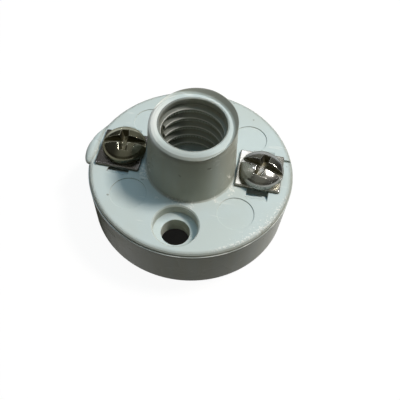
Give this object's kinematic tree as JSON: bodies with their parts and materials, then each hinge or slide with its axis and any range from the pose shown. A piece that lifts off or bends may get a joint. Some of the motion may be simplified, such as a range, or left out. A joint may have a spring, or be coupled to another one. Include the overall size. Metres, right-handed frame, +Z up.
{
  "type": "screw lampholder",
  "caption": "Round moulded base with a tapered collar whose screw socket takes a miniature lamp, with side and centre contacts, clamp-screw wire terminals and countersunk fixing holes",
  "frame": {"origin": "centre of the base's foot, on the surface that the lampholder is fixed to", "axes": "+Z up along the lamp's axis, out of the socket; X from terminal to terminal, +X to the centre contact's terminal; Y through the fixing holes"},
  "size_m": [0.0308, 0.03, 0.0182],
  "materials": {
    "moulding": "pale grey-blue moulded plastic, satin to gloss",
    "contact": "nickel-plated brass strip, bright",
    "screw": "nickel-plated steel, polished",
    "washer": "nickel-plated pressed steel, bright",
    "nut": "plated steel, satin"
  },
  "bodies": {
    "holder": {"moulded_body": "moulding", "side_contact": "contact", "centre_contact": "contact", "left_terminal_nut": "nut", "right_terminal_nut": "nut"},
    "left_washer": {"left_clamp_washer": "washer"},
    "left_screw": {"left_terminal_screw": "screw"},
    "right_washer": {"right_clamp_washer": "washer"},
    "right_screw": {"right_terminal_screw": "screw"}
  },
  "joints": [
    {"name": "left_washer_lift", "type": "slide", "parent": "holder", "child": "left_washer", "axis": [0, 0, 1], "range_m": [0, 0.0021]},
    {"name": "left_screw_turn", "type": "hinge", "parent": "left_washer", "child": "left_screw", "pos_m": [-0.01018, 0.0006, 0.00885], "axis": [0, 0, 1], "range_deg": [-1, 1513]},
    {"name": "right_washer_lift", "type": "slide", "parent": "holder", "child": "right_washer", "axis": [0, 0, 1], "range_m": [0, 0.0021]},
    {"name": "right_screw_turn", "type": "hinge", "parent": "right_washer", "child": "right_screw", "pos_m": [0.01018, 0.0006, 0.00885], "axis": [0, 0, 1], "range_deg": [-1, 1513]}
  ],
  "couplings": [
    {"joint": "left_screw_turn", "follows": "left_washer_lift", "rad_per_m": 12566},
    {"joint": "right_screw_turn", "follows": "right_washer_lift", "rad_per_m": 12566}
  ]
}
